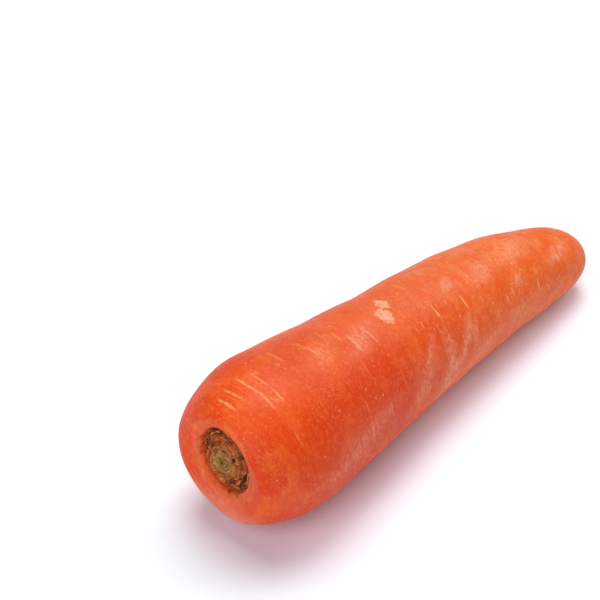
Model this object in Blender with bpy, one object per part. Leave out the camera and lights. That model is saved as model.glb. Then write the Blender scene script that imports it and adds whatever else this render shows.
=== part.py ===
# A grown orange carrot, washed and lying on its side, with its leaf stalks cut off at the crown.
# Metres, +Z up. X runs from the crown to the tip. The origin is on the surface that the carrot
# lies on, under the middle of its outline. "Along" is the distance from the crown's crest, and
# "turn" is the angle round the root's middle line, from +Y towards +Z, so 90 degrees is the top.
import math
import random

import bmesh
import bpy
from mathutils import Vector

# Driving dimensions of the root
LENGTH = 0.1728
# (along, radius) of the root, before its two ends are rounded off
BODY = (
    (0.0000, 0.0260),
    (0.0173, 0.0259),
    (0.0346, 0.0251),
    (0.0553, 0.0230),
    (0.0760, 0.0213),
    (0.0968, 0.0199),
    (0.1175, 0.0185),
    (0.1382, 0.0163),
    (0.1555, 0.0139),
    (LENGTH, 0.0120),
)
SHOULDER_LENGTH = 0.0255
SHOULDER_POWERS = (2.05, 1.44)  # roundness where the shoulder meets the body, and at the crest
CREST_SHARE = 0.664
CREST_SHIFT = (-0.0004, 0.0005)  # how far aside and up the crown's crest stands
TIP_LENGTH = 0.0253
TIP_POWER = 2.83
BOW = 0.0031
SWAY = 0.0020
FLAT_DEPTH = 0.00035  # how much of the underside is pressed flat by the root's own weight

# The shallow hollow in the crown, from its crest in to its rim, and down its wall to its
# floor, as (along, radius, aside, up). It isn't centred on the root's axis.
HOLLOW = (
    (-0.0003, 0.0164, -0.0006, 0.0010),
    (-0.0003, 0.0152, -0.0009, 0.0018),
    (0.0001, 0.0138, -0.0012, 0.0028),
    (0.0006, 0.0124, -0.0014, 0.0035),
    (0.0009, 0.0114, -0.0015, 0.0039),
    (0.0014, 0.0109, -0.0015, 0.0040),
    (0.0027, 0.0107, -0.0015, 0.0040),
    (0.0040, 0.0105, -0.0015, 0.0040),
)
HOLLOW_DEPTH, HOLLOW_RADIUS, HOLLOW_ASIDE, HOLLOW_UP = HOLLOW[-1]
# The broken stump of the thin tail root, as (past the tip, radius)
TAIL = (
    (-0.0003, 0.0032),
    (-0.0010, 0.0023),
    (-0.0005, 0.0016),
    (0.0009, 0.0012),
    (0.0020, 0.0008),
)
TAIL_LENGTH = 0.0023

# How far the root is from a true turned shape
OVAL = (0.00020, -0.9)  # (height, start)
THREE_SIDED = (0.00014, 2.1)
SWELLS = ((0.0230, 1.3, 0.00016), (0.0390, 4.0, 0.00020))  # (wave length, start, height)

# Creases where side roots grew, as (along, turn in degrees, length round the root)
UPPER_CREASES = (
    (0.0053, 85, 0.0067),
    (0.0086, 84, 0.0076),
    (0.0131, 88, 0.0090),
    (0.0133, 107, 0.0066),
    (0.0166, 92, 0.0075),
    (0.0166, 110, 0.0050),
    (0.0272, 83, 0.0071),
    (0.0383, 95, 0.0061),
    (0.0498, 95, 0.0056),
    (0.0528, 108, 0.0074),
    (0.0703, 99, 0.0068),
    (0.0740, 87, 0.0071),
    (0.0867, 78, 0.0054),
    (0.0880, 120, 0.0057),
    (0.1008, 126, 0.0055),
    (0.1193, 150, 0.0040),
    (0.1350, 159, 0.0036),
    (0.0710, 176, 0.0040),
)
UPPER_SIDE = (40, 200)  # the turns, in degrees, that the list above covers
MORE_CREASES = 26
MORE_CREASES_REACH = (0.010, 0.160)
CREASE_LENGTHS = (0.004, 0.008)
CREASE_ROWS = 4  # side roots grow in four rows, which wind slowly round the root
ROW_WIND = 55
ROW_SPREAD = 14
CREASE_WIDTH = 0.0018
CREASE_DEPTH = 0.00038
CREASE_SEED = 11

SIDES = 54
SHOULDER_RINGS = 14
MIDDLE_RINGS = 50
TIP_RINGS = 13

# Dried bases of the leaf stalks, and the green bud that stands among them
GAP = 0.0003
BASE_FLOOR = HOLLOW_DEPTH - GAP
BASE_RADIUS = HOLLOW_RADIUS - GAP
BUD_HOLE = 0.0040
BUD_RADIUS = BUD_HOLE - GAP
BUD_ASIDE = -0.0008
BUD_UP = 0.0036
# The corky dome that the bases grow from, from its rim to the bud's hole, as (along, radius)
DOME = (
    (0.0032, BASE_RADIUS),
    (0.0029, 0.0096),
    (0.0026, 0.0083),
    (0.0022, 0.0068),
    (0.0018, 0.0052),
    (0.0017, BUD_HOLE),
)
DOME_SIDES = 36
# Each ring of bases: (radius, how many, along at the top edge, lean outwards)
BASE_RINGS = (
    (0.0090, 7, 0.0020, 0.14),
    (0.0077, 6, 0.0013, 0.05),
    (0.0065, 5, 0.0008, -0.04),
    (0.0053, 5, 0.0004, -0.08),
)
BASE_THICK = 0.0007
BASE_FILL = 0.90  # share of its place round the ring that a base takes up
BASE_ROOT = 0.0033
BASE_STEPS = 8
BASE_RAGGED = 0.0004
BASE_DROOP = 0.0009  # how much lower a base's two ends are than its middle
BASE_SHIFT = 0.05  # how far a base strays round its ring, as a share of its place
BASE_SEED = 4
# The bud, from its foot to its top, as (along, radius)
BUD = (
    (0.0012, BUD_RADIUS),
    (0.0005, 0.0036),
    (0.0001, 0.0032),
    (0.0003, 0.0028),
    (0.0009, 0.0025),
    (0.0008, 0.0021),
    (0.0000, 0.0018),
    (-0.0003, 0.0010),
)
BUD_TOP = -0.0002
BUD_SIDES = 24

FINISHES = {
    "taproot": ((0.86, 0.16, 0.03), 0.38),
    "leaf_stalk_bases": ((0.17, 0.075, 0.03), 0.85),
    "crown_bud": ((0.22, 0.19, 0.045), 0.70),
}


def smooth_curve(stations, place):
    """Height of a smooth curve through (place, height) stations, by cubic Hermite pieces."""
    last = len(stations) - 1
    k = 0
    while k < last - 1 and place > stations[k + 1][0]:
        k += 1

    def slope(i):
        low, high = stations[max(i - 1, 0)], stations[min(i + 1, last)]
        return (high[1] - low[1]) / (high[0] - low[0])

    span = stations[k + 1][0] - stations[k][0]
    t = (place - stations[k][0]) / span
    start = (2 * t**3 - 3 * t**2 + 1) * stations[k][1] + (t**3 - 2 * t**2 + t) * span * slope(k)
    end = (3 * t**2 - 2 * t**3) * stations[k + 1][1] + (t**3 - t**2) * span * slope(k + 1)
    return start + end


def root_radius(along):
    """Radius of the root's skin, with its shoulder and its tip rounded off."""
    radius = smooth_curve(BODY, along)
    if along < SHOULDER_LENGTH:
        left = 1 - along / SHOULDER_LENGTH
        rise = (1 - left ** SHOULDER_POWERS[0]) ** (1 / SHOULDER_POWERS[1])
        radius *= CREST_SHARE + (1 - CREST_SHARE) * rise
    into_tip = along - (LENGTH - TIP_LENGTH)
    if into_tip > 0:
        radius *= (1 - (into_tip / TIP_LENGTH) ** TIP_POWER) ** (1 / TIP_POWER)
    return radius


def middle_line(along):
    """The root's middle. It bows a little to the side, and its underside lies on the surface."""
    t = min(max(along / LENGTH, 0), 1)
    aside = 4 * BOW * t * (1 - t) - 8 * SWAY * t * (1 - t) * (1 - 2 * t)
    height = smooth_curve(BODY, t * LENGTH) - FLAT_DEPTH
    near_crest = max(0, 1 - t * LENGTH / SHOULDER_LENGTH) ** 2
    aside += CREST_SHIFT[0] * near_crest
    return Vector((along, aside, height + CREST_SHIFT[1] * near_crest))


def crown_place(aside, up):
    """The middle of a ring in the crown, given from the root's axis there."""
    return Vector((0, aside, BODY[0][1] - FLAT_DEPTH + up))


def scale_centre(radius):
    """The rings of bases are centred on the bud inside, and on the hollow outside."""
    out = (radius - BUD_HOLE) / (BASE_RADIUS - BUD_HOLE)
    return crown_place(BUD_ASIDE, BUD_UP).lerp(crown_place(HOLLOW_ASIDE, HOLLOW_UP), out)


def all_creases():
    """The creases on the upper side, and more of the same kind on the rest of the root."""
    draw = random.Random(CREASE_SEED)
    creases = list(UPPER_CREASES)
    first, last = MORE_CREASES_REACH
    for k in range(MORE_CREASES):
        along = first + (last - first) * (k + draw.random()) / MORE_CREASES
        row = 360 / CREASE_ROWS * (k % CREASE_ROWS) + ROW_WIND * along / LENGTH
        turn = (UPPER_SIDE[1] + row + draw.uniform(-ROW_SPREAD, ROW_SPREAD)) % 360
        if UPPER_SIDE[0] < turn < UPPER_SIDE[1]:
            turn = (turn + UPPER_SIDE[1] - UPPER_SIDE[0]) % 360
        creases.append((along, turn, draw.uniform(*CREASE_LENGTHS)))
    return creases


CREASES = all_creases()


def crease_depth(along, turn, radius):
    """How deep the creases cut at a place on the skin."""
    depth = 0
    for place, centre, length in CREASES:
        off = (along - place) / CREASE_WIDTH
        aside = (math.degrees(turn) - centre + 180) % 360 - 180
        aside = math.radians(aside) * radius / (length / 2)
        depth += CREASE_DEPTH * math.exp(-(off**2) - aside**4)
    return depth


def uneven(along, turn, radius):
    """How far the skin stands off the turned shape. It fades out at the underside and the tip."""
    off = OVAL[0] * math.cos(2 * turn + OVAL[1])
    off += THREE_SIDED[0] * math.cos(3 * turn + THREE_SIDED[1])
    for length, start, height in SWELLS:
        off += height * math.sin(2 * math.pi * along / length + start + math.sin(turn))
    off -= crease_depth(along, turn, radius)
    at_underside = min(1, 0.7 * (1 + math.sin(turn)))
    at_tip = min(1, radius / BODY[-1][1])
    return off * at_underside * at_tip


def skin_ring(mesh, along, radius):
    """A closed ring of points on the root's uneven skin."""
    centre = middle_line(along)
    ring = []
    for k in range(SIDES):
        turn = 2 * math.pi * k / SIDES
        reach = radius + uneven(along, turn, radius)
        ring.append(mesh.verts.new(centre + reach * Vector((0, math.cos(turn), math.sin(turn)))))
    return ring


def crown_ring(mesh, along, radius, centre, sides):
    """A round ring in the crown."""
    ring = []
    for k in range(sides):
        turn = 2 * math.pi * k / sides
        out = Vector((0, math.cos(turn), math.sin(turn)))
        ring.append(mesh.verts.new(centre + Vector((along, 0, 0)) + radius * out))
    return ring


def join_rings(mesh, rings):
    """Skins each ring to the next one."""
    for near, far in zip(rings, rings[1:]):
        for k in range(len(near)):
            following = (k + 1) % len(near)
            mesh.faces.new((near[k], near[following], far[following], far[k]))


def close_ring(mesh, ring, place):
    """Closes a ring with a fan to one point."""
    point = mesh.verts.new(place)
    for k in range(len(ring)):
        mesh.faces.new((ring[k], ring[(k + 1) % len(ring)], point))


def make_object(name, mesh, collection=None):
    """A named object, shaded smooth, from a finished mesh."""
    bmesh.ops.recalc_face_normals(mesh, faces=mesh.faces)
    data = bpy.data.meshes.new(name)
    mesh.to_mesh(data)
    mesh.free()
    data.shade_smooth()
    data.set_sharp_from_angle(angle=math.radians(40))
    made = bpy.data.objects.new(name, data)
    (collection or bpy.context.scene.collection).objects.link(made)
    return made


def root_places():
    """Where the root's rings stand: closer together where its ends curve in."""
    places = []
    for k in range(SHOULDER_RINGS):
        places.append(SHOULDER_LENGTH * (k / SHOULDER_RINGS) ** 1.5)
    tip_start = LENGTH - TIP_LENGTH
    for k in range(MIDDLE_RINGS):
        places.append(SHOULDER_LENGTH + (tip_start - SHOULDER_LENGTH) * k / MIDDLE_RINGS)
    for k in range(TIP_RINGS):
        places.append(tip_start + TIP_LENGTH * math.sin(math.pi / 2 * k / TIP_RINGS))
    return [p for p in places if root_radius(p) > TAIL[0][1]]


def make_taproot():
    """The root: crown hollow, shoulder, body, blunt tip and tail, as one closed solid."""
    mesh = bmesh.new()
    rings = []
    for along, radius, aside, up in reversed(HOLLOW):
        rings.append(crown_ring(mesh, along, radius, crown_place(aside, up), SIDES))
    rings += [skin_ring(mesh, along, root_radius(along)) for along in root_places()]
    rings += [skin_ring(mesh, LENGTH + past, radius) for past, radius in TAIL]
    join_rings(mesh, rings)
    mesh.faces.new(rings[0])
    close_ring(mesh, rings[-1], middle_line(LENGTH + TAIL_LENGTH))
    bmesh.ops.recalc_face_normals(mesh, faces=mesh.faces)
    everything = mesh.verts[:] + mesh.edges[:] + mesh.faces[:]
    cut = bmesh.ops.bisect_plane(
        mesh, geom=everything, dist=1e-6, plane_co=(0, 0, 0), plane_no=(0, 0, -1), clear_outer=True
    )
    border = [e for e in cut["geom_cut"] if isinstance(e, bmesh.types.BMEdge)]
    bmesh.ops.holes_fill(mesh, edges=border, sides=0)
    return make_object("taproot", mesh)


def make_dome():
    """The corky dome, a turned ring with the bud's hole through it."""
    mesh = bmesh.new()
    rings = []
    for along, radius in [(BASE_FLOOR, BUD_HOLE), (BASE_FLOOR, BASE_RADIUS)] + list(DOME):
        rings.append(crown_ring(mesh, along, radius, scale_centre(radius), DOME_SIDES))
    join_rings(mesh, rings + rings[:1])
    return make_object("leaf_stalk_bases", mesh)


def make_base(collection, radius, turn, width, top, lean, draw):
    """One dried base: a thin upright strip, curved round the bud, with a ragged top edge."""
    mesh = bmesh.new()
    centre = scale_centre(radius)
    slices = []
    for k in range(BASE_STEPS + 1):
        from_middle = abs(2 * k / BASE_STEPS - 1)
        edge = top + BASE_DROOP * from_middle**3 + draw.uniform(-BASE_RAGGED, BASE_RAGGED)
        angle = turn + width * (k / BASE_STEPS - 0.5)
        out = Vector((0, math.cos(angle), math.sin(angle)))
        corners = []
        for along, side in ((BASE_ROOT, -1), (edge, -1), (edge, 1), (BASE_ROOT, 1)):
            reach = radius + side * BASE_THICK / 2 + lean * (BASE_ROOT - along)
            corners.append(mesh.verts.new(centre + reach * out + Vector((along, 0, 0))))
        slices.append(corners)
    join_rings(mesh, slices)
    mesh.faces.new(slices[0])
    mesh.faces.new(slices[-1])
    return make_object("base", mesh, collection)


def make_leaf_stalk_bases():
    """The dome with its rings of dried bases, joined into one body."""
    dome = make_dome()
    repeats = bpy.data.collections.new("bases to join")
    bpy.context.scene.collection.children.link(repeats)
    draw = random.Random(BASE_SEED)
    for ring, (radius, count, top, lean) in enumerate(BASE_RINGS):
        for k in range(count):
            place = 2 * math.pi / count
            turn = place * (k + 0.5 * (ring % 2) + draw.uniform(-BASE_SHIFT, BASE_SHIFT))
            make_base(repeats, radius, turn, place * BASE_FILL, top, lean, draw)
    join = dome.modifiers.new("join", "BOOLEAN")
    join.operation = "UNION"
    join.operand_type = "COLLECTION"
    join.collection = repeats
    join.solver = "EXACT"
    bpy.context.view_layer.objects.active = dome
    bpy.ops.object.modifier_apply(modifier=join.name)
    for base in list(repeats.objects):
        bpy.data.objects.remove(base)
    bpy.data.collections.remove(repeats)
    return dome


def make_crown_bud():
    """The green bud: a short stump of cut young stalks, ring inside ring."""
    mesh = bmesh.new()
    centre = crown_place(BUD_ASIDE, BUD_UP)
    rings = []
    for along, radius in [(BASE_FLOOR, BUD_RADIUS)] + list(BUD):
        rings.append(crown_ring(mesh, along, radius, centre, BUD_SIDES))
    join_rings(mesh, rings)
    mesh.faces.new(rings[0])
    close_ring(mesh, rings[-1], centre + Vector((BUD_TOP, 0, 0)))
    return make_object("crown_bud", mesh)


def paint(piece):
    """Gives a piece its own plain finish."""
    colour, roughness = FINISHES[piece.name]
    finish = bpy.data.materials.new(piece.name)
    finish.use_nodes = True
    shader = finish.node_tree.nodes["Principled BSDF"]
    shader.inputs["Base Color"].default_value = (*colour, 1)
    shader.inputs["Roughness"].default_value = roughness
    shader.inputs["Metallic"].default_value = 0
    piece.data.materials.clear()
    piece.data.materials.append(finish)


def stand_on_origin(pieces):
    """Moves the meshes together, so that the origin is under the middle of the outline."""
    corners = [v.co for piece in pieces for v in piece.data.vertices]
    shift = Vector((0, 0, 0))
    for axis in (0, 1):
        values = [c[axis] for c in corners]
        shift[axis] = -(min(values) + max(values)) / 2
    for piece in pieces:
        for v in piece.data.vertices:
            v.co += shift
        piece.data.update()


def main():
    for old in list(bpy.data.objects):
        bpy.data.objects.remove(old)
    pieces = [make_taproot(), make_leaf_stalk_bases(), make_crown_bud()]
    stand_on_origin(pieces)
    for piece in pieces:
        paint(piece)


main()
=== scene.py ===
# The looks of the carrot: fine skin, dried leaf-stalk bases and the cut green bud in its crown.
import math
import random

import bpy
import numpy as np
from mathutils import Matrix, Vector


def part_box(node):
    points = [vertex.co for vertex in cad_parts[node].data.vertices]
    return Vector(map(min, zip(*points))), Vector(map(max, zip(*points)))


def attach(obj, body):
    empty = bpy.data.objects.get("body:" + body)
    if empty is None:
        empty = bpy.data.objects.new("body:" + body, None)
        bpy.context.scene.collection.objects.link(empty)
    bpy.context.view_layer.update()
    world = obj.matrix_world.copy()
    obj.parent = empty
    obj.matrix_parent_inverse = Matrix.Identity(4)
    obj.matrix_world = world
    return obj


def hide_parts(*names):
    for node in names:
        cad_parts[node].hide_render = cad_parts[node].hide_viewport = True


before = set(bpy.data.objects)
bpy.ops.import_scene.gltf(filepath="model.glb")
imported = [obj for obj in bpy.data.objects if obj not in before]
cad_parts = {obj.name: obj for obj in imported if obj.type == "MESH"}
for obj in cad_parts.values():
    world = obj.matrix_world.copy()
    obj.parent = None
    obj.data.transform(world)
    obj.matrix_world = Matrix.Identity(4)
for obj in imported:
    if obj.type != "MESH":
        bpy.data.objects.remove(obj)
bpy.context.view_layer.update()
bpy.context.scene.view_settings.view_transform = "Standard"
print("frame loaded:", sorted(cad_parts))


# Small helpers for working as in the viewport

def deselectAll():
    bpy.ops.object.select_all(action="DESELECT")


def pickOnly(piece):
    deselectAll()
    piece.select_set(True)
    bpy.context.view_layer.objects.active = piece


def settle(piece):  # the place, turn and size go into the mesh
    pickOnly(piece)
    bpy.ops.object.transform_apply(location=True, rotation=True, scale=True)


def selectWhere(piece, test):  # leaves edit mode with only the vertices picked that pass the test
    bpy.ops.object.mode_set(mode="EDIT")
    bpy.ops.mesh.select_mode(type="VERT")
    bpy.ops.mesh.select_all(action="DESELECT")
    bpy.ops.object.mode_set(mode="OBJECT")
    for vertex in piece.data.vertices:
        vertex.select = test(vertex.co)
    bpy.ops.object.mode_set(mode="EDIT")


def applyModifier(piece, kind, **settings):
    pickOnly(piece)
    modifier = piece.modifiers.new(kind.lower(), kind)
    for name, value in settings.items():
        setattr(modifier, name, value)
    bpy.ops.object.modifier_apply(modifier=modifier.name)


def roughen(piece, size, height, depth=1):  # pushes the surface in and out by cloudy noise
    clouds = bpy.data.textures.new("clouds", "CLOUDS")
    clouds.noise_scale = size
    clouds.noise_depth = depth
    applyModifier(piece, "DISPLACE", texture=clouds, texture_coords="LOCAL", strength=height, mid_level=0.5)


def crumple(piece, size, reach):  # moves the surface about in all three directions
    clouds = bpy.data.textures.new("crumple", "CLOUDS")
    clouds.noise_scale = size
    clouds.noise_depth = 1
    clouds.cloud_type = "COLOR"
    applyModifier(piece, "DISPLACE", texture=clouds, texture_coords="LOCAL", direction="RGB_TO_XYZ",
                  space="LOCAL", strength=reach, mid_level=0.5)


def vertexPlaces(piece):
    places = np.zeros(len(piece.data.vertices) * 3, np.float32)
    piece.data.vertices.foreach_get("co", places)
    return places.reshape(-1, 3).astype(float)


def storeField(piece, name, values):  # a number at each vertex, which a material can read
    field = piece.data.attributes.new(name, "FLOAT", "POINT")
    field.data.foreach_set("value", values.astype(np.float32))


# Camera: it looks down on the crown from the front, at the photograph's angle

camera = dict(lens=107.7, sensor=36, distance=0.570, turn=46.45, tilt=38.64,
              lookAt=(-0.0210, 0.0307, 0.0336))


def makeCamera():
    turn, tilt = math.radians(camera["turn"]), math.radians(camera["tilt"])
    ahead = Vector((math.sin(turn) * math.cos(tilt), math.cos(turn) * math.cos(tilt), -math.sin(tilt)))
    place = Vector(camera["lookAt"]) - camera["distance"] * ahead
    bpy.ops.object.camera_add(location=place, rotation=(math.pi / 2 - tilt, 0, -turn))
    made = bpy.context.object
    made.data.lens = camera["lens"]
    made.data.sensor_width = camera["sensor"]
    bpy.context.scene.camera = made


makeCamera()
print("camera placed")


# The root: rings are extruded from the hollow's floor, over the crest and along to the tail.
# Depth is the distance behind the foremost point of the crown.

root = dict(
    sides=24,
    levels=3,
    # (depth, radius, how far from the root's middle to the hollow's middle, height against width)
    hollow=[(0.0043, 0.0102, 1.00, 1.18), (0.0031, 0.0104, 1.00, 1.18), (0.0020, 0.0105, 1.00, 1.18),
            (0.0014, 0.0107, 1.00, 1.17), (0.0010, 0.0111, 0.98, 1.15), (0.0009, 0.0120, 0.92, 1.11),
            (0.0005, 0.0136, 0.68, 1.06), (0.0001, 0.0151, 0.40, 1.03), (0.0000, 0.0164, 0.15, 1.01)],
    shoulderStart=0.0005, shoulderEnd=0.0258, shoulderRings=9, shoulderCrowding=1.6,
    middleRings=30, middleCrowding=1.15, tipStart=0.1478, tipRings=8, tailReach=0.0027,
    # (depth, radius) of the tail's stump
    tail=[(0.1728, 0.0031), (0.1723, 0.0023), (0.1728, 0.0016), (0.1741, 0.0012), (0.1752, 0.0008)],
    # (size, height) of the unevenness
    swell=(0.0300, 0.00045), dimples=(0.0075, 0.00022), grain=(0.0011, 0.00005),
    skinShare=0.93, aboveFlat=0.0005,  # which points of the solid's section count as its round skin
    flatBelow=0.00015,
)
rootLow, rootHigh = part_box("taproot")
hollowLow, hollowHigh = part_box("leaf_stalk_bases")
hollowMiddle = (hollowLow + hollowHigh) / 2


def solidFaces(node):  # the corners of a solid's triangles
    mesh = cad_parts[node].data
    mesh.calc_loop_triangles()
    places = np.array([v.co for v in mesh.vertices])
    return places[np.array([t.vertices[:] for t in mesh.loop_triangles])]


rootFaces = solidFaces("taproot")


def rootSection(x):  # the middle and the radius of the solid root, by the circle that fits its section
    cut = []
    for a, b in ((0, 1), (1, 2), (2, 0)):
        p, q = rootFaces[:, a], rootFaces[:, b]
        hit = (p[:, 0] - x) * (q[:, 0] - x) < 0
        share = (x - p[hit, 0]) / (q[hit, 0] - p[hit, 0])
        cut.append(p[hit] + share[:, None] * (q[hit] - p[hit]))
    cut = np.concatenate(cut)[:, 1:]
    reach = np.linalg.norm(cut - (cut.min(0) + cut.max(0)) / 2, axis=1)
    cut = cut[(reach > root["skinShare"] * reach.max()) & (cut[:, 1] > root["aboveFlat"])]
    sides = np.column_stack((2 * cut, np.ones(len(cut))))
    y, z, rest = np.linalg.lstsq(sides, (cut**2).sum(1), rcond=None)[0]
    return y, z, math.sqrt(rest + y * y + z * z)


def rootDepths():
    start, end, rings = root["shoulderStart"], root["shoulderEnd"], root["shoulderRings"]
    depths = [start + (end - start) * (k / rings) ** root["shoulderCrowding"] for k in range(rings)]
    reach, rings = root["tipStart"] - end, root["middleRings"]
    depths += [end + reach * (k / rings) ** root["middleCrowding"] for k in range(rings)]
    reach, rings = rootHigh.x - rootLow.x - root["tailReach"] - root["tipStart"], root["tipRings"]
    depths += [root["tipStart"] + reach * math.sin(math.pi / 2 * k / rings) for k in range(rings)]
    return depths


rootRings = [(depth, *rootSection(rootLow.x + depth)) for depth in rootDepths()]


def ringList():  # (x, y, z, half width, half height) of each ring, in the order in which they are extruded
    first, last = rootRings[0], rootRings[-1]
    rings = []
    for depth, radius, share, tall in root["hollow"]:
        y = first[1] + share * (hollowMiddle.y - first[1])
        z = first[2] + share * (hollowMiddle.z - first[2])
        rings.append((rootLow.x + depth, y, z, radius / math.sqrt(tall), radius * math.sqrt(tall)))
    rings += [(rootLow.x + depth, y, z, radius, radius) for depth, y, z, radius in rootRings]
    rings += [(rootLow.x + depth, last[1], last[2], radius, radius) for depth, radius in root["tail"]]
    # subdividing draws a ring in, so each is made a little larger
    larger = 3 / (2 + math.cos(2 * math.pi / root["sides"]))
    return [(x, y, z, wide * larger, high * larger) for x, y, z, wide, high in rings]


def extrudeRings(rings, sides):  # a tube through rings, each given as (x, y, z, half width, half height)
    x, y, z, wide, high = rings[0]
    bpy.ops.mesh.primitive_circle_add(vertices=sides, radius=wide, location=(x, y, z),
                                      rotation=(0, math.pi / 2, 0))
    made = bpy.context.object
    settle(made)
    bpy.ops.object.mode_set(mode="EDIT")
    bpy.ops.mesh.select_all(action="SELECT")
    bpy.ops.transform.resize(value=(1, 1, high / wide), center_override=(x, y, z))
    for old, new in zip(rings, rings[1:]):
        step = [new[k] - old[k] for k in range(3)]
        bpy.ops.mesh.extrude_edges_move(TRANSFORM_OT_translate={"value": step})
        grow = (1, new[3] / old[3], new[4] / old[4])
        bpy.ops.transform.resize(value=grow, center_override=new[:3])
    bpy.ops.mesh.select_all(action="DESELECT")
    bpy.ops.mesh.select_non_manifold()
    bpy.ops.mesh.fill_holes(sides=0)
    bpy.ops.mesh.select_all(action="SELECT")
    bpy.ops.mesh.normals_make_consistent(inside=False)
    bpy.ops.object.mode_set(mode="OBJECT")
    return made


def shapeRoot():
    piece = extrudeRings(ringList(), root["sides"])
    piece.name = "carrotRoot"
    applyModifier(piece, "SUBSURF", levels=root["levels"], render_levels=root["levels"])
    for size, height in (root["swell"], root["dimples"], root["grain"]):
        roughen(piece, size, height)
    return piece


carrotRoot = shapeRoot()
print("root shaped:", len(carrotRoot.data.polygons), "faces")


# Marks: pale scars where side roots grew, each a short line across the root.
# Along is the distance from the crest, and turn the angle from +Y towards +Z, in degrees.

marks = dict(
    crest=0.0003, hollowEdge=-0.0002,  # where the distances along start, and where the hollow's side ends
    # (along, turn, length round the root, width, how pale)
    upper=[
        (0.0130, 88, 0.0090, 0.00030, 0.85), (0.0131, 106, 0.0068, 0.00030, 0.80),
        (0.0086, 84, 0.0076, 0.00028, 0.80), (0.0053, 85, 0.0067, 0.00034, 1.00),
        (0.0166, 91, 0.0075, 0.00026, 0.75), (0.0165, 109, 0.0044, 0.00030, 0.80),
        (0.0272, 83, 0.0071, 0.00028, 0.70), (0.0380, 95, 0.0061, 0.00026, 0.75),
        (0.0497, 94, 0.0054, 0.00026, 0.70), (0.0528, 107, 0.0074, 0.00030, 0.80),
        (0.0867, 78, 0.0054, 0.00028, 0.60), (0.0880, 120, 0.0057, 0.00028, 0.75),
        (0.1008, 128, 0.0050, 0.00030, 0.95), (0.1195, 151, 0.0035, 0.00028, 0.95),
        (0.1232, 147, 0.0030, 0.00028, 0.85), (0.1366, 158, 0.0042, 0.00030, 1.00),
        (0.1128, 160, 0.0034, 0.00026, 0.70), (0.1376, 143, 0.0034, 0.00024, 0.50),
        (0.0880, 125, 0.0016, 0.00045, 1.00), (0.0710, 175, 0.0034, 0.00026, 0.60),
        (0.0370, 85, 0.0060, 0.00026, 0.60), (0.0598, 107, 0.0060, 0.00028, 0.65),
    ],
    # (along, turn, length round the root, width) of worn pale patches
    patches=[(0.0745, 87, 0.0058, 0.0024), (0.0705, 99, 0.0074, 0.0031)],
    # (along, turn) of both ends, width and strength of a dry, whitish scuff, partly painted sheen and
    # reflection
    scuffsAndSheen=[((0.087, 140), (0.083, 190), 0.0022, 1.0), ((0.081, 134), (0.072, 160), 0.0016, 0.8),
            ((0.099, 140), (0.090, 178), 0.0020, 1.0), ((0.1015, 144), (0.098, 172), 0.0012, 0.8),
            ((0.105, 170), (0.098, 200), 0.0090, 0.7), ((0.128, 162), (0.120, 190), 0.0100, 0.5),
            ((0.088, 168), (0.080, 204), 0.0055, 1.2),
            ((0.050, 160), (0.020, 188), 0.0120, 0.6), ((0.140, 88), (0.132, 118), 0.0080, 0.5),
            ((0.156, 118), (0.150, 142), 0.0050, 0.9), ((0.120, 100), (0.114, 122), 0.0045, 0.6),
            ((0.128, 132), (0.126, 146), 0.0020, 0.8), ((0.101, 98), (0.098, 112), 0.0022, 0.8),
            ((0.075, 150), (0.066, 185), 0.0050, 0.5), ((0.061, 92), (0.051, 118), 0.0052, 0.75),
            ((0.042, 92), (0.036, 112), 0.0060, 0.40),
            ((0.060, 205), (0.100, 250), 0.0100, 0.7), ((0.030, 20), (0.050, 60), 0.0080, 0.6),
            ((0.120, 10), (0.090, 50), 0.0070, 0.7), ((0.130, 200), (0.150, 240), 0.0060, 0.7)],
    # finer lines beside each of the upper ones: how far off along and round, and what share of its size
    splits=2, splitAlong=0.0014, splitTurn=7, splitLength=(0.3, 0.6), splitWidth=0.6, splitPale=(0.35, 0.7),
    faint=170, faintStart=0.004, faintReach=0.160, faintLength=(0.0012, 0.0060),
    faintWidth=(0.00014, 0.00026), faintPale=(0.15, 0.55), slant=0.05, seed=7,
    # how deep the creases go, how many line widths wide they are, and the length of line that presses fully
    crease=0.00032, creaseWidth=5.0, fullLength=0.005, creaseSteps=10,
    farOff=9.0, leastRank=1e-4,  # widths past which no line is drawn, and the weakest that counts
)


def allMarks():
    draw = random.Random(marks["seed"])
    lines = []
    for along, turn, length, width, pale in marks["upper"]:
        lines.append((along, turn, length, width, pale, draw.uniform(-marks["slant"], marks["slant"])))
        for k in range(marks["splits"]):  # each main scar has finer ones beside it
            lines.append((along + draw.uniform(-marks["splitAlong"], marks["splitAlong"]),
                          turn + draw.uniform(-marks["splitTurn"], marks["splitTurn"]),
                          length * draw.uniform(*marks["splitLength"]), width * marks["splitWidth"],
                          pale * draw.uniform(*marks["splitPale"]),
                          draw.uniform(-marks["slant"], marks["slant"])))
    for k in range(marks["faint"]):
        lines.append((marks["faintStart"] + marks["faintReach"] * draw.random(), 360 * draw.random(),
                      draw.uniform(*marks["faintLength"]), draw.uniform(*marks["faintWidth"]),
                      draw.uniform(*marks["faintPale"]), draw.uniform(-marks["slant"], marks["slant"])))
    return lines


def rootPlaces(piece):  # along, turn in degrees and radius of every vertex of the root
    places = vertexPlaces(piece)
    along = places[:, 0] - rootLow.x
    depths = [ring[0] for ring in rootRings]
    y, z, radius = (np.interp(along, depths, [ring[k] for ring in rootRings]) for k in (1, 2, 3))
    turn = np.degrees(np.arctan2(places[:, 2] - z, places[:, 1] - y))
    return along - marks["crest"], turn, radius


def roundFrom(turn, centre, radius):  # the distance round the root from an angle, in metres
    return np.radians((turn - centre + 180) % 360 - 180) * radius


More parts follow.
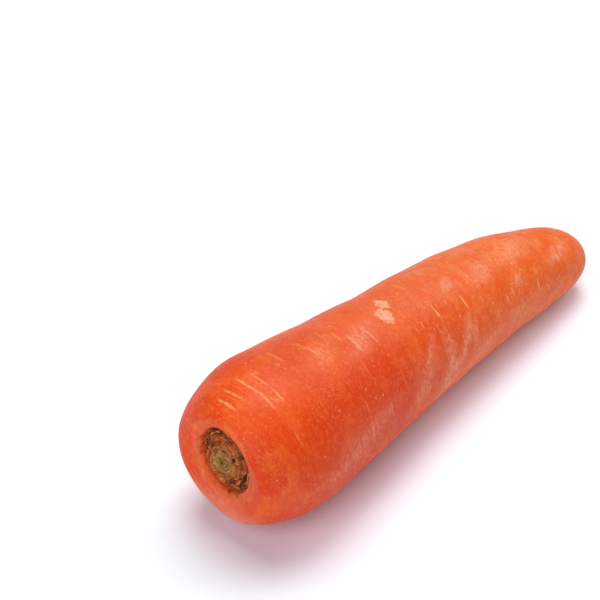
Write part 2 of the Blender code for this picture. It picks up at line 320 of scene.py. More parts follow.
def drawMarks(piece):  # stores the marks as fields, and gives back how far each place is pressed in
    along, turn, radius = rootPlaces(piece)
    outside = along > marks["hollowEdge"]
    offset, pale = np.full(len(along), marks["farOff"]), np.zeros(len(along))
    best, crease = np.full(len(along), marks["leastRank"]), np.zeros(len(along))
    for place, centre, length, width, strength, slant in allMarks():
        aside = roundFrom(turn, centre, radius)
        off = (along - place - slant * aside) / width
        window = np.exp(-(np.abs(aside) / (length / 2)) ** 3)
        pressed = np.exp(-(off / marks["creaseWidth"]) ** 2)
        rank = window * strength * pressed
        here = rank > best
        best[here] = rank[here]
        offset[here] = off[here]
        pale[here] = (strength * window)[here]
        crease += window * min(1, length / marks["fullLength"]) * strength * pressed
    storeField(piece, "markOffset", np.clip(offset, -marks["farOff"], marks["farOff"]))
    storeField(piece, "markPale", pale * outside)
    worn = np.zeros(len(along))
    for place, centre, length, width in marks["patches"]:
        aside = roundFrom(turn, centre, radius)
        worn = np.maximum(worn, np.exp(-(aside / (length / 2)) ** 2 - ((along - place) / width) ** 2))
    storeField(piece, "palePatch", worn)
    # dry, whitish scuffs, partly painted sheen and reflection
    dryAndSheen = np.zeros(len(along))
    for (s0, t0), (s1, t1), width, strength in marks["scuffsAndSheen"]:
        middle, half = math.radians((t0 + t1) / 2), math.radians(abs(t1 - t0) / 2)
        aside = ((np.radians(turn) - middle + math.pi) % (2 * math.pi) - math.pi) / half
        path = (s0 + s1) / 2 + aside * (s1 - s0) / 2 * (1 if t1 > t0 else -1)
        dryAndSheen = np.maximum(dryAndSheen, strength * np.exp(-np.abs(aside) ** 4 - ((along - path) / width) ** 2))
    storeField(piece, "scuffAndSheen", dryAndSheen)
    return np.clip(crease * outside, 0, 1)


def pressCreases(piece, weights):
    group = piece.vertex_groups.new(name="creases")
    steps = marks["creaseSteps"]
    for step in range(1, steps + 1):  # a vertex group takes one weight at a time
        inside = np.nonzero((weights > (step - 1) / steps) & (weights <= step / steps))[0]
        group.add([int(k) for k in inside], step / steps, "REPLACE")
    applyModifier(piece, "DISPLACE", strength=-marks["crease"], mid_level=0, vertex_group="creases")


pressCreases(carrotRoot, drawMarks(carrotRoot))


def flattenUnderside(piece):  # it lies on the surface
    pickOnly(piece)
    selectWhere(piece, lambda place: place.z < root["flatBelow"])
    bpy.ops.transform.resize(value=(1, 1, 0), center_override=(0, 0, 0))
    bpy.ops.object.mode_set(mode="OBJECT")


flattenUnderside(carrotRoot)
carrotRoot.data.shade_smooth()
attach(carrotRoot, "root")
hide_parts("taproot")
print("marks drawn")


# Dried leaf-stalk bases: ragged curved scales that stand in rings on a corky dome

bases = dict(
    floor=0.0040, radius=0.0102, budRadius=0.0039,
    # (depth, radius) of the dome from its rim to the bud
    dome=[(0.0034, 0.0102), (0.0032, 0.0094), (0.0029, 0.0082), (0.0026, 0.0068), (0.0022, 0.0054),
          (0.0021, 0.0040)],
    domeSides=32, domeRough=(0.0012, 0.0005), domeTone=0.2,
    # (radius, how many, depth of the top edge, lean outwards)
    rings=[(0.0100, 15, 0.0017, 0.05), (0.0092, 12, 0.0019, 0.18), (0.0083, 11, 0.0018, 0.14),
           (0.0074, 10, 0.0015, 0.10), (0.0066, 9, 0.0012, 0.05), (0.0058, 8, 0.0010, 0.0),
           (0.0050, 7, 0.0007, -0.05), (0.0043, 6, 0.0005, -0.08)],
    # where the scales stand lower: (turn and spread in degrees, radius from which, how much lower)
    crevices=[(122, 50, 0.0078, 0.0020), (20, 18, 0.0080, 0.0012),
              (290, 50, 0.0086, 0.0014), (158, 22, 0.0064, 0.0014)],
    creviceEdge=0.0016,
    thick=(0.00060, 0.00026), fill=(0.50, 1.15), ragged=0.00042, raggedEven=0.6, seed=5,
    sunk=0.0003, stepLength=0.0006, fewestSteps=4, nearEdge=0.0001,
    # how far the scales stray: share of their place in the ring, depth, radius, lean
    strayTurn=0.4, strayDepth=(-0.0005, 0.0007), strayRadius=0.0004, strayLean=0.15,
    shortest=0.0004, crumple=(0.0026, 0.0022), rough=(0.0006, 0.00020), tall=1.15, front=0.0001,
)
budLow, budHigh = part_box("crown_bud")
budMiddle = (budLow + budHigh) / 2


def crownMiddle(radius):  # rings are centred on the bud inside and on the hollow outside
    share = (radius - bases["budRadius"]) / (bases["radius"] - bases["budRadius"])
    middle = budMiddle.lerp(hollowMiddle, share)
    return middle.y, middle.z


def giveTone(piece, tone):  # how light and tan it is, from 0 to 1
    storeField(piece, "tone", np.full(len(piece.data.vertices), tone))


def shapeDome():
    profile = [(bases["floor"], bases["budRadius"]), (bases["floor"], bases["radius"])] + bases["dome"]
    rings = [(rootLow.x + depth, *crownMiddle(radius), radius, radius) for depth, radius in profile]
    piece = extrudeRings(rings, bases["domeSides"])
    applyModifier(piece, "SUBSURF", levels=2, render_levels=2)
    roughen(piece, *bases["domeRough"], depth=2)
    giveTone(piece, bases["domeTone"])
    return piece


def shapeScale(middle, radius, turn, width, top, lean, draw):  # one scale, spun from its cross-section
    y, z = middle
    foot = rootLow.x + bases["floor"] - bases["sunk"]
    low, high = (t / 2 for t in bases["thick"])
    out = lean * (foot - rootLow.x - top)
    bpy.ops.mesh.primitive_plane_add(size=1, location=(0, 0, 0))
    piece = bpy.context.object
    corners = [(foot, radius - low), (foot, radius + low), (rootLow.x + top, radius + out - high),
               (rootLow.x + top, radius + out + high)]
    for vertex, (x, reach) in zip(piece.data.vertices, corners):
        vertex.co = (x, y + reach, z)
    pickOnly(piece)
    bpy.ops.object.mode_set(mode="EDIT")
    bpy.ops.mesh.select_all(action="SELECT")
    steps = max(bases["fewestSteps"], int(width * radius / bases["stepLength"]))
    bpy.ops.transform.rotate(value=-turn, orient_axis="X", center_override=(foot, y, z))
    bpy.ops.mesh.spin(steps=steps, angle=width, center=(foot, y, z), axis=(1, 0, 0))
    bpy.ops.mesh.select_all(action="SELECT")
    bpy.ops.mesh.normals_make_consistent(inside=False)
    edge = rootLow.x + top + bases["nearEdge"]
    selectWhere(piece, lambda place: place.x < edge)
    bpy.ops.transform.vertex_random(offset=bases["ragged"], uniform=bases["raggedEven"], normal=0,
                                    seed=draw.randrange(10000))
    bpy.ops.object.mode_set(mode="OBJECT")
    return piece


def lowered(radius, turn):  # how much lower a scale stands, at an angle in degrees
    total = 0
    for side, spread, inner, deep in bases["crevices"]:
        away = (turn - side + 180) % 360 - 180
        outside = min(1, max(0, (radius - inner) / bases["creviceEdge"]))
        total += deep * math.exp(-(away / spread) ** 2) * outside
    return total


def joinPieces(pieces, name):
    deselectAll()
    for piece in pieces:
        piece.select_set(True)
    bpy.context.view_layer.objects.active = pieces[0]
    bpy.ops.object.join()
    made = bpy.context.object
    made.name = name
    return made


def levelFront(piece):  # nothing stands out past the crown's foremost point
    pickOnly(piece)
    front = rootLow.x + bases["front"]
    selectWhere(piece, lambda place: place.x < front)
    bpy.ops.transform.resize(value=(0, 1, 1), center_override=(front, 0, 0))
    bpy.ops.object.mode_set(mode="OBJECT")


def makeBases():
    draw = random.Random(bases["seed"])
    pieces = [shapeDome()]
    for radius, count, top, lean in bases["rings"]:
        for k in range(count):
            turn = 2 * math.pi * (k + draw.uniform(-bases["strayTurn"], bases["strayTurn"])) / count
            width = 2 * math.pi / count * draw.uniform(*bases["fill"])
            depth = top + lowered(radius, math.degrees(turn + width / 2)) + draw.uniform(*bases["strayDepth"])
            depth = min(depth, bases["floor"] - bases["shortest"])
            reach = radius + draw.uniform(-bases["strayRadius"], bases["strayRadius"])
            tilt = lean + draw.uniform(-bases["strayLean"], bases["strayLean"])
            piece = shapeScale(crownMiddle(radius), reach, turn, width, depth, tilt, draw)
            applyModifier(piece, "SUBSURF", levels=1, render_levels=1)
            giveTone(piece, draw.random())
            pieces.append(piece)
    made = joinPieces(pieces, "driedStalkBases")
    crumple(made, *bases["crumple"])
    roughen(made, *bases["rough"], depth=2)
    # the hollow is taller than it is wide
    pickOnly(made)
    bpy.ops.object.mode_set(mode="EDIT")
    bpy.ops.mesh.select_all(action="SELECT")
    tall = math.sqrt(bases["tall"])
    bpy.ops.transform.resize(value=(1, 1 / tall, tall), center_override=hollowMiddle)
    bpy.ops.object.mode_set(mode="OBJECT")
    levelFront(made)
    made.data.shade_smooth()
    return made


driedStalkBases = makeBases()
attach(driedStalkBases, "root")
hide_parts("leaf_stalk_bases")
print("bases made:", len(driedStalkBases.data.polygons), "faces")


# The green bud: the cut ends of crowded young stalks, each curled round its neighbour

bud = dict(
    # (depth, radius) from the foot to the cut end, for the bud's body
    body=[(0.0038, 0.0033), (0.0018, 0.0033), (0.0011, 0.0028), (0.0009, 0.0018), (0.0010, 0.0007)],
    # (place along Y and Z from the bud's middle, radius, turn and width in degrees, depth of the top edge,
    # lean, how tan and dry)
    stalks=[(0.0000, 0.0000, 0.0036, 40, 120, 0.0006, 0.10, 0.85),
            (0.0000, 0.0000, 0.0034, 170, 110, 0.0008, 0.05, 0.7),
            (0.0001, 0.0000, 0.0035, 290, 90, 0.0010, 0.10, 0.8),
            (0.0006, -0.0011, 0.0013, 120, 230, 0.0003, -0.1, 0.0),
            (-0.0012, -0.0007, 0.0012, 290, 230, 0.0002, 0.0, 0.15),
            (0.0002, 0.0013, 0.0016, 20, 170, 0.0002, 0.1, 0.55),
            (0.0017, 0.0006, 0.0011, 60, 240, 0.0004, 0.0, 0.3),
            (-0.0013, 0.0015, 0.0011, 130, 200, 0.0003, 0.1, 0.75),
            (-0.0001, 0.0000, 0.0007, 0, 280, 0.0001, 0.0, 0.1)],
    bodySides=24, bodyTone=0.1, crumple=(0.0017, 0.0018), rough=(0.0007, 0.0002), seed=3,
)


def makeBud():
    draw = random.Random(bud["seed"])
    rings = [(rootLow.x + depth, budMiddle.y, budMiddle.z, radius, radius) for depth, radius in bud["body"]]
    pieces = [extrudeRings(rings, bud["bodySides"])]
    applyModifier(pieces[0], "SUBSURF", levels=2, render_levels=2)
    giveTone(pieces[0], bud["bodyTone"])
    for y, z, radius, turn, width, top, lean, tone in bud["stalks"]:
        middle = (budMiddle.y + y, budMiddle.z + z)
        piece = shapeScale(middle, radius, math.radians(turn), math.radians(width), top, lean, draw)
        applyModifier(piece, "SUBSURF", levels=2, render_levels=2)
        giveTone(piece, tone)
        pieces.append(piece)
    made = joinPieces(pieces, "greenBud")
    crumple(made, *bud["crumple"])
    roughen(made, *bud["rough"], depth=2)
    levelFront(made)
    made.data.shade_smooth()
    return made


greenBud = makeBud()
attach(greenBud, "root")
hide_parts("crown_bud")
print("bud made:", len(greenBud.data.polygons), "faces")


# Materials: every pattern reads the place on the piece in metres, or a field stored on its mesh

def newMaterial(name):
    made = bpy.data.materials.new(name)
    made.use_nodes = True
    return made, made.node_tree.nodes["Principled BSDF"]


def node(mat, kind, sockets={}, output=0, **settings):  # a new node, whose sockets take values or links
    made = mat.node_tree.nodes.new("ShaderNode" + kind)
    for name, value in settings.items():
        setattr(made, name, value)
    for name, value in sockets.items():
        if isinstance(value, bpy.types.NodeSocket):
            mat.node_tree.links.new(value, made.inputs[name])
        else:
            made.inputs[name].default_value = value
    return made.outputs[output]


def link(mat, output, shader, name):
    mat.node_tree.links.new(output, shader.inputs[name])


def objectPlace(mat):
    return node(mat, "TexCoord", output="Object")


def axis(mat, vector, name):
    return node(mat, "SeparateXYZ", {"Vector": vector}, output=name)


def field(mat, name):
    return node(mat, "Attribute", output="Fac", attribute_name=name)


def scaled(mat, vector, size):  # coordinates divided by a size in metres along each axis
    return node(mat, "VectorMath", {0: vector, 1: [1 / s for s in size]}, operation="MULTIPLY")


def noise(mat, vector, size, detail, roughness=0.5):
    size = size if isinstance(size, tuple) else (size, size, size)
    return node(mat, "TexNoise", {"Vector": scaled(mat, vector, size), "Scale": 1, "Detail": detail,
                                  "Roughness": roughness})


def span(mat, value, low, high, toLow=0, toHigh=1, smooth=True):
    return node(mat, "MapRange", {"Value": value, "From Min": low, "From Max": high, "To Min": toLow,
                                  "To Max": toHigh}, interpolation_type="SMOOTHSTEP" if smooth else "LINEAR")


def clouds(mat, place, size, detail, roughness, *shares):  # noise, then span
    return span(mat, noise(mat, place, size, detail, roughness), *shares)


def wander(mat, place, size, detail, roughness, reach):  # noise from minus to plus its reach
    return span(mat, noise(mat, place, size, detail, roughness), 0, 1, -reach, reach, smooth=False)


def maths(mat, operation, a, b=0.0):
    return node(mat, "Math", {0: a, 1: b}, operation=operation)


def product(mat, *values):
    total = values[0]
    for value in values[1:]:
        total = maths(mat, "MULTIPLY", total, value)
    return total


def blendColour(mat, share, under, over):
    made = mat.node_tree.nodes.new("ShaderNodeMix")
    made.data_type = "RGBA"
    for name, value in (("Factor_Float", share), ("A_Color", under), ("B_Color", over)):
        socket = next(s for s in made.inputs if s.identifier == name)
        if isinstance(value, bpy.types.NodeSocket):
            mat.node_tree.links.new(value, socket)
        else:
            socket.default_value = value if isinstance(value, float) else (*value, 1)
    return next(s for s in made.outputs if s.identifier == "Result_Color")


spots = dict(sizes=(0.7, 1.3), strengths=(0.35, 1))  # how much the spots of one pattern differ


def dots(mat, place, cell, inner, outer, kept):  # small round spots, most of them faint, one in each cell
    vector = scaled(mat, place, (cell, cell, cell))
    distance = node(mat, "TexVoronoi", {"Vector": vector, "Scale": 1}, output="Distance")
    colour = node(mat, "TexVoronoi", {"Vector": vector, "Scale": 1}, output="Color")
    chosen = node(mat, "SeparateColor", {"Color": colour})
    size = node(mat, "SeparateColor", {"Color": colour}, output="Green")
    size = span(mat, size, 0, 1, *spots["sizes"], smooth=False)
    spot = span(mat, maths(mat, "DIVIDE", distance, size), inner, outer, 1, 0)
    return maths(mat, "MULTIPLY", spot, span(mat, chosen, 1 - kept, 1, *spots["strengths"], smooth=False))


def ringBand(mat, distance, middle, half):  # one on a thin ring, falling to nothing at its edges
    off = maths(mat, "ABSOLUTE", maths(mat, "SUBTRACT", distance, middle))
    return span(mat, off, 0, half, 1, 0)


def relief(mat, shader, height, strength, distance):
    bump = node(mat, "Bump", {"Height": height, "Strength": strength, "Distance": distance})
    link(mat, bump, shader, "Normal")


skin = dict(
    flesh=(0.79, 0.077, 0.0015), deep=(0.70, 0.0425, 0.0007), tail=(0.845, 0.1265, 0.0049),
    light=(0.88, 0.170, 0.0246), blotch=(0.79, 0.087, 0.0025), scar=(0.95, 0.390, 0.140),
    patch=(0.95, 0.425, 0.260), patchCrack=(0.88, 0.200, 0.065), speckle=(0.95, 0.320, 0.115),
    haze=(0.90, 0.370, 0.155), dustAndSheen=(0.92, 0.430, 0.270), paintedSheen=(0.78, 0.360, 0.180),
    halo=(0.70, 0.148, 0.030), lip=(0.90, 0.270, 0.090), fleck=(0.30, 0.032, 0.004),
    # cloudy patterns: (size in metres, detail, roughness, noise from and to, what it gives there and there)
    broad=(0.024, 2, 0.5, 0.35, 0.65), lightPatches=((0.0050, 0.0085, 0.0085), 3, 0.5, 0.46, 0.78, 0, 0.45),
    mottle=((0.0012, 0.0015, 0.0015), 3, 0.65, 0.46, 0.72, 0, 0.55),
    darkMottle=((0.0011, 0.0016, 0.0016), 3, 0.6, 0.48, 0.70, 0, 0.42),
    frostPlaces=((0.0050, 0.0062, 0.0062), 4, 0.6, 0.38, 0.66),
    frost=((0.0008, 0.0009, 0.0009), 3, 0.65, 0.53, 0.66), frosted=(0, 1, 0.35, 1),
    streaks=((0.00085, 0.0055, 0.0055), 3, 0.6, 0.58, 0.74),
    streakPlaces=((0.012, 0.016, 0.016), 2, 0.5, 0.46, 0.66, 0.03, 0.24),
    brokenLines=(0.0012, 2, 0.5, 0.30, 0.60, 0.35, 1),
    cracks=((0.0009, 0.0022, 0.0022), 3, 0.6, 0.46, 0.62, 0, 0.65),
    scratches=((0.0010, 0.0020, 0.0020), 4, 0.7, 0.38, 0.66, 0.10, 1),
    porePlaces=(0.011, 2, 0.5, 0.38, 0.65, 0.25, 1), haloPlaces=(0.0040, 3, 0.5, 0.40, 0.60, 0.35, 1),
    ringPlaces=(0.0026, 2, 0.5, 0.45, 0.60, 0.05, 0.30), soilFlecks=(0.0020, 2, 0.6, 0.52, 0.62, 0, 0.85),
    gloss=(0.0018, 3, 0.6, 0.3, 0.7, 0.42, 0.58),
    # how edges wander: (size in metres, detail, roughness, reach)
    lineWander=(0.0016, 2, 0.5, 1.0), patchWander=(0.0015, 4, 0.65, 0.65), rimWander=(0.0030, 3, 0.6, 0.0024),
    # shares that change along the root: (distance from the crown from and to, the share there and there)
    toTail=(0.050, 0.150, 0, 0.9), nearHalf=(0.090, 0.045), crownFace=(0.012, 0.002),
    sheenAlong=(0, 0.130, 0.05, 0.29), mottleAlong=(0.020, 0.110, 0.70, 1.20), farHalf=(0.050, 0.115),
    frostAlong=(0.050, 0.130, 0.06, 0.50), largeAlong=(0.015, 0.045, 0.60, 0.85),
    tinyAlong=(0.040, 0.120, 0.6, 1), lowFaceAlong=(0.004, 0.0005),
    # shares that change with height above the table, and one across the root
    sideHeight=(0.0475, 0.0425), faceHeight=(0.046, 0.036), sheenHeight=(0.0475, 0.0545),
    poreHeight=(0.030, 0.018, 0, 0.6), lowFaceHeight=(0.019, 0.010), oneSide=(-0.002, -0.014),
    # pores: (cell in metres, core and edge as shares of it, how many are strong)
    largePores=(0.0027, 0.06, 0.17, 0.45), smallPores=(0.0011, 0.10, 0.24, 0.6),
    tinyPores=(0.0007, 0.14, 0.32, 0.6),
    # round the hollow, by the distance from its middle
    haloReach=(0.0112, 0.0142, 0.70, 0), paleRing=(0.0134, 0.0010), gentler=0.6, lipRing=(0.0110, 0.0006),
    lipSide=(-0.003, -0.008, 0, 0.35), soilReach=(0.0104, 0.0126, 1, 0), hollowShape=(1, 1.085, 0.92),
    # strengths, and what a pale line does between its middle and its edge, in line widths
    taper=0.14, paintedShade=0.65, hazed=0.07, blotched=(0.55, 0.0, 0, 0.50), lined=0.85, lineEdge=(0.1, 2.1, 1, 0),
    worn=(0.36, 0.62, 0, 0.90), scuffAndSheenShare=0.75, paleLowFace=0.30, lesserPores=0.7, dryRough=0.25,
    # relief: (size in metres, detail, roughness), heights of its parts, (strength, distance in metres)
    grain=(0.0008, 3, 0.6), ridges=((0.0012, 0.0050, 0.0050), 3, 0.6), grainHeight=0.6, ridgeHeight=0.5,
    markHeight=0.4, relief=(0.40, 0.00023),
    specular=0.21, subsurface=0.22, scatter=(1.0, 0.30, 0.08), scatterReach=0.0020,
)


def skinMaterial():
    mat, shader = newMaterial("carrotSkin")
    place = objectPlace(mat)
    along = maths(mat, "SUBTRACT", axis(mat, place, "X"), rootLow.x)
    height = axis(mat, place, "Z")
    colour = blendColour(mat, clouds(mat, place, *skin["broad"]), skin["deep"], skin["flesh"])
    colour = blendColour(mat, span(mat, along, *skin["toTail"]), colour, skin["tail"])
    # painted shade: a deeper orange painted on the crown's face and low on one side
    side = product(mat, span(mat, axis(mat, place, "Y"), *skin["oneSide"]),
                   span(mat, along, *skin["nearHalf"]), span(mat, height, *skin["sideHeight"]))
    face = product(mat, span(mat, along, *skin["crownFace"]), span(mat, height, *skin["faceHeight"]))
    paintedShade = maths(mat, "MULTIPLY", maths(mat, "MAXIMUM", side, face), skin["paintedShade"])
    colour = blendColour(mat, paintedShade, colour, skin["deep"])
    # painted highlight: a faint pale sheen painted along the top, which slopes down to the tip
    top = maths(mat, "ADD", height, maths(mat, "MULTIPLY", along, skin["taper"]))
    paintedSheen = product(mat, span(mat, top, *skin["sheenHeight"]), span(mat, along, *skin["sheenAlong"]))
    colour = blendColour(mat, paintedSheen, colour, skin["paintedSheen"])
    # mottling at three sizes
    colour = blendColour(mat, clouds(mat, place, *skin["lightPatches"]), colour, skin["light"])
    mottle = product(mat, clouds(mat, place, *skin["mottle"]), span(mat, along, *skin["mottleAlong"]))
    colour = blendColour(mat, mottle, colour, skin["light"])
    colour = blendColour(mat, clouds(mat, place, *skin["darkMottle"]), colour, skin["deep"])
    # frosty pale mottling on the far half, in clusters, between deeper blotches
    frosted = clouds(mat, place, *skin["frostPlaces"])
    far = span(mat, along, *skin["farHalf"])
    colour = blendColour(mat, product(mat, far, frosted, skin["hazed"]), colour, skin["haze"])
    blotches = product(mat, far, span(mat, frosted, *skin["blotched"]))
    colour = blendColour(mat, blotches, colour, skin["blotch"])
    frost = product(mat, clouds(mat, place, *skin["frost"]), span(mat, frosted, *skin["frosted"]),
                    span(mat, along, *skin["frostAlong"]))
    colour = blendColour(mat, frost, colour, skin["haze"])
    # fine streaks across the root, in clusters
    streaks = product(mat, clouds(mat, place, *skin["streaks"]), clouds(mat, place, *skin["streakPlaces"]))
    colour = blendColour(mat, streaks, colour, skin["scar"])
    # scars: pale lines from the fields on the mesh
    offset = maths(mat, "ADD", field(mat, "markOffset"), wander(mat, place, *skin["lineWander"]))
    line = span(mat, maths(mat, "ABSOLUTE", offset), *skin["lineEdge"])
    line = product(mat, line, field(mat, "markPale"), clouds(mat, place, *skin["brokenLines"]))
    colour = blendColour(mat, maths(mat, "MULTIPLY", line, skin["lined"]), colour, skin["scar"])
    # worn pale patches, and dry, whitish scuffs that are partly painted sheen and reflection
    patch = maths(mat, "ADD", field(mat, "palePatch"), wander(mat, place, *skin["patchWander"]))
    worn = blendColour(mat, clouds(mat, place, *skin["cracks"]), skin["patch"], skin["patchCrack"])
    colour = blendColour(mat, span(mat, patch, *skin["worn"]), colour, worn)
    dryAndSheen = product(mat, field(mat, "scuffAndSheen"), clouds(mat, place, *skin["scratches"]))
    colour = blendColour(mat, maths(mat, "MULTIPLY", dryAndSheen, skin["scuffAndSheenShare"]), colour, skin["dustAndSheen"])
    # paler low on the crown's face
    paleLowFace = product(mat, span(mat, along, *skin["lowFaceAlong"]), span(mat, height, *skin["lowFaceHeight"]),
                     skin["paleLowFace"])
    colour = blendColour(mat, paleLowFace, colour, skin["dustAndSheen"])
    # pale pores, few large ones and many small ones
    denser = clouds(mat, place, *skin["porePlaces"])
    denser = maths(mat, "MAXIMUM", denser, span(mat, height, *skin["poreHeight"]))
    large = dots(mat, place, *skin["largePores"])
    small = dots(mat, place, *skin["smallPores"])
    tiny = maths(mat, "MULTIPLY", dots(mat, place, *skin["tinyPores"]), span(mat, along, *skin["tinyAlong"]))
    small = product(mat, maths(mat, "MAXIMUM", small, tiny), denser, skin["lesserPores"])
    speckle = maths(mat, "MAXIMUM", product(mat, large, span(mat, along, *skin["largeAlong"])), small)
    colour = blendColour(mat, speckle, colour, skin["speckle"])
    # the pale skin round the hollow, and soil left in its cracks
    fromHollow = node(mat, "VectorMath", {0: place, 1: (rootLow.x, hollowMiddle.y, hollowMiddle.z)},
                      operation="SUBTRACT")
    narrowed = node(mat, "VectorMath", {0: fromHollow, 1: skin["hollowShape"]}, operation="MULTIPLY")
    distance = node(mat, "VectorMath", {0: narrowed}, output="Value", operation="LENGTH")
    ragged = wander(mat, place, *skin["rimWander"])
    near = maths(mat, "ADD", distance, ragged)
    halo = product(mat, span(mat, near, *skin["haloReach"]), clouds(mat, place, *skin["haloPlaces"]))
    colour = blendColour(mat, halo, colour, skin["halo"])
    gentle = maths(mat, "ADD", distance, maths(mat, "MULTIPLY", ragged, skin["gentler"]))
    pale = product(mat, ringBand(mat, gentle, *skin["paleRing"]), clouds(mat, place, *skin["ringPlaces"]))
    colour = blendColour(mat, pale, colour, skin["lip"])
    side = span(mat, axis(mat, fromHollow, "Y"), *skin["lipSide"])
    lip = maths(mat, "MULTIPLY", ringBand(mat, distance, *skin["lipRing"]), side)
    colour = blendColour(mat, lip, colour, skin["lip"])
    soil = product(mat, span(mat, near, *skin["soilReach"]), clouds(mat, place, *skin["soilFlecks"]))
    colour = blendColour(mat, soil, colour, skin["fleck"])
    link(mat, colour, shader, "Base Color")
    # gloss and relief
    gloss = clouds(mat, place, *skin["gloss"])
    drier = maths(mat, "MULTIPLY", maths(mat, "MAXIMUM", soil, dryAndSheen), skin["dryRough"])
    link(mat, maths(mat, "ADD", gloss, drier), shader, "Roughness")
    grain = maths(mat, "MULTIPLY", noise(mat, place, *skin["grain"]), skin["grainHeight"])
    ridges = maths(mat, "MULTIPLY", noise(mat, place, *skin["ridges"]), skin["ridgeHeight"])
    raised = maths(mat, "MULTIPLY", maths(mat, "ADD", line, speckle), skin["markHeight"])
    relief(mat, shader, maths(mat, "ADD", maths(mat, "ADD", grain, ridges), raised), *skin["relief"])
    shader.inputs["Subsurface Weight"].default_value = skin["subsurface"]
    shader.inputs["Subsurface Radius"].default_value = skin["scatter"]
    shader.inputs["Subsurface Scale"].default_value = skin["scatterReach"]
    shader.inputs["Specular IOR Level"].default_value = skin["specular"]
    return mat


dried = dict(
    recessShade=(0.130, 0.020, 0.008), brown=(0.38, 0.078, 0.020), tan=(0.72, 0.28, 0.080),
    rust=(0.58, 0.125, 0.030), olive=(0.58, 0.280, 0.062),
    # (size in metres, detail, roughness, reach) of what moves the depth and the tone about
    depthWander=(0.0012, 3, 0.5, 0.0013), toneWander=(0.0024, 2, 0.5, 0.75),
    # (size in metres, detail, roughness, noise from and to, what it gives there and there)
    rustPlaces=(0.0018, 2, 0.5, 0.48, 0.62),
    fibres=((0.0012, 0.00035, 0.00035), 2, 0.5, 0.35, 0.65, 0.72, 1.18),
    tanTone=(0.05, 0.95), rusty=0.5, nearBud=(0.0066, 0.0040, 0, 0.5), atFront=(0.0014, 0.0003, 0, 0.6),
    shadeDepth=(0.0021, 0.0036), ridges=((0.0012, 0.00025, 0.00025), 3), relief=(0.6, 0.0002),
    roughness=0.85, specular=0.15,
)


def depthBehind(mat, place, jitter):  # how far behind the crown's foremost point, moved about a little
    return maths(mat, "SUBTRACT", maths(mat, "ADD", axis(mat, place, "X"), jitter), rootLow.x)


def driedMaterial():
    mat, shader = newMaterial("driedStalk")
    place = objectPlace(mat)
    depth = depthBehind(mat, place, wander(mat, place, *dried["depthWander"]))
    tone = maths(mat, "ADD", field(mat, "tone"), wander(mat, place, *dried["toneWander"]))
    colour = blendColour(mat, span(mat, tone, *dried["tanTone"]), dried["brown"], dried["tan"])
    rust = maths(mat, "MULTIPLY", clouds(mat, place, *dried["rustPlaces"]), dried["rusty"])
    colour = blendColour(mat, rust, colour, dried["rust"])
    # greener towards the bud
    distance = node(mat, "VectorMath", {0: place, 1: (rootLow.x, budMiddle.y, budMiddle.z)}, output="Value",
                    operation="DISTANCE")
    colour = blendColour(mat, span(mat, distance, *dried["nearBud"]), colour, dried["olive"])
    colour = blendColour(mat, span(mat, depth, *dried["atFront"]), colour, dried["tan"])
    # painted shade: the deep parts of the hollow are painted dark, where shade falls between the scales
    colour = blendColour(mat, span(mat, depth, *dried["shadeDepth"]), colour, dried["recessShade"])
    fibres = clouds(mat, place, *dried["fibres"])
    link(mat, node(mat, "VectorMath", {0: colour, 3: fibres}, operation="SCALE"), shader, "Base Color")
    relief(mat, shader, noise(mat, place, *dried["ridges"]), *dried["relief"])
    shader.inputs["Roughness"].default_value = dried["roughness"]
    shader.inputs["Specular IOR Level"].default_value = dried["specular"]
    return mat


green = dict(
    fresh=(0.38, 0.215, 0.022), olive=(0.25, 0.130, 0.015), tan=(0.58, 0.28, 0.090),
    brown=(0.19, 0.060, 0.018),
    depthWander=(0.0012, 2, 0.5, 0.0007), toneWander=(0.0015, 2, 0.5, 0.6),
    freshPlaces=(0.0013, 2, 0.5, 0.42, 0.58), tanTone=(0.25, 0.85), shadeDepth=(0.0012, 0.0022),
    ridges=((0.0012, 0.0003, 0.0003), 3), relief=(0.4, 0.00015),
    roughness=0.65, subsurface=0.15, scatter=(0.6, 1.0, 0.2), scatterReach=0.0008,
)


def budMaterial():
    mat, shader = newMaterial("greenStalk")
    place = objectPlace(mat)
    depth = depthBehind(mat, place, wander(mat, place, *green["depthWander"]))
    colour = blendColour(mat, clouds(mat, place, *green["freshPlaces"]), green["olive"], green["fresh"])
    tone = maths(mat, "ADD", field(mat, "tone"), wander(mat, place, *green["toneWander"]))
    colour = blendColour(mat, span(mat, tone, *green["tanTone"]), colour, green["tan"])
    # painted shade: the deeper parts of the bud are painted brown, where shade falls between the stalks
    colour = blendColour(mat, span(mat, depth, *green["shadeDepth"]), colour, green["brown"])
    link(mat, colour, shader, "Base Color")
    relief(mat, shader, noise(mat, place, *green["ridges"]), *green["relief"])
    shader.inputs["Roughness"].default_value = green["roughness"]
    shader.inputs["Subsurface Weight"].default_value = green["subsurface"]
    shader.inputs["Subsurface Radius"].default_value = green["scatter"]
    shader.inputs["Subsurface Scale"].default_value = green["scatterReach"]
    return mat


finishes = ((carrotRoot, skinMaterial()), (driedStalkBases, driedMaterial()), (greenBud, budMaterial()))
for piece, material in finishes:
    piece.data.materials.clear()
    piece.data.materials.append(material)
print("materials made")


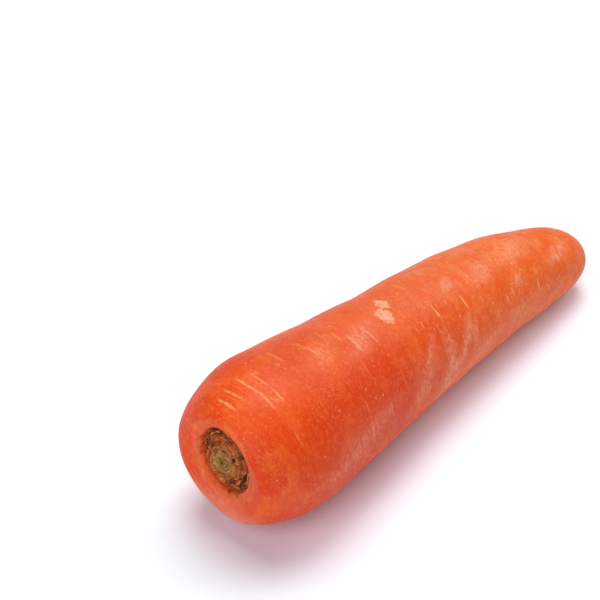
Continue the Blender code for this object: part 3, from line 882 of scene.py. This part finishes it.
# Stage: a white table that reaches to the horizon, under broad soft lights

stage = dict(
    floorSize=80.0, floorColour=(0.90, 0.90, 0.905), floorRoughness=0.7,
    world=(1, 0.857, 0.857), worldStrength=0.123, backdrop=1.0,
    # spread is how wide each light looks from the table, in degrees
    lights=[dict(name="overBack", place=(1.60, 1.60, 4.80), spread=36, power=0.94, colour=(0.857, 1, 1)),
            dict(name="overTop", place=(0.90, 0.90, 4.80), spread=36, power=1.37, colour=(0.857, 1, 1)),
            dict(name="overRight", place=(3.60, -0.60, 3.40), spread=36, power=0.67,
                 colour=(1, 0.857, 0.961)),
            dict(name="fillLeft", place=(-3.80, -1.40, 3.20), spread=48, power=1.85,
                 colour=(0.87, 0.857, 1))],
)


def makeStage():
    deselectAll()
    bpy.ops.mesh.primitive_plane_add(size=stage["floorSize"], location=(0, 0, 0))
    floor = bpy.context.object
    floor.name = "floor"
    mat, shader = newMaterial("whiteTable")
    shader.inputs["Base Color"].default_value = (*stage["floorColour"], 1)
    shader.inputs["Roughness"].default_value = stage["floorRoughness"]
    floor.data.materials.append(mat)
    for light in stage["lights"]:
        aim = -Vector(light["place"])
        turn = aim.to_track_quat("-Z", "Y").to_euler()
        bpy.ops.object.light_add(type="SUN", location=light["place"], rotation=turn)
        made = bpy.context.object
        made.name = light["name"]
        made.data.angle = math.radians(light["spread"])
        made.data.energy = light["power"]
        made.data.color = light["colour"]
    world = bpy.data.worlds.new("studio")
    bpy.context.scene.world = world
    world.use_nodes = True
    sky = world.node_tree.nodes["Background"]
    sky.inputs["Color"].default_value = (*stage["world"], 1)
    sky.inputs["Strength"].default_value = stage["worldStrength"]
    # the backdrop behind the table is plain white, and lights nothing
    backdrop = node(world, "Background", {"Color": (1, 1, 1, 1), "Strength": stage["backdrop"]})
    seen = node(world, "LightPath", output="Is Camera Ray")
    mixed = node(world, "MixShader", {0: seen, 1: sky.outputs[0], 2: backdrop})
    world.node_tree.links.new(mixed, world.node_tree.nodes["World Output"].inputs["Surface"])


makeStage()
print("stage set")
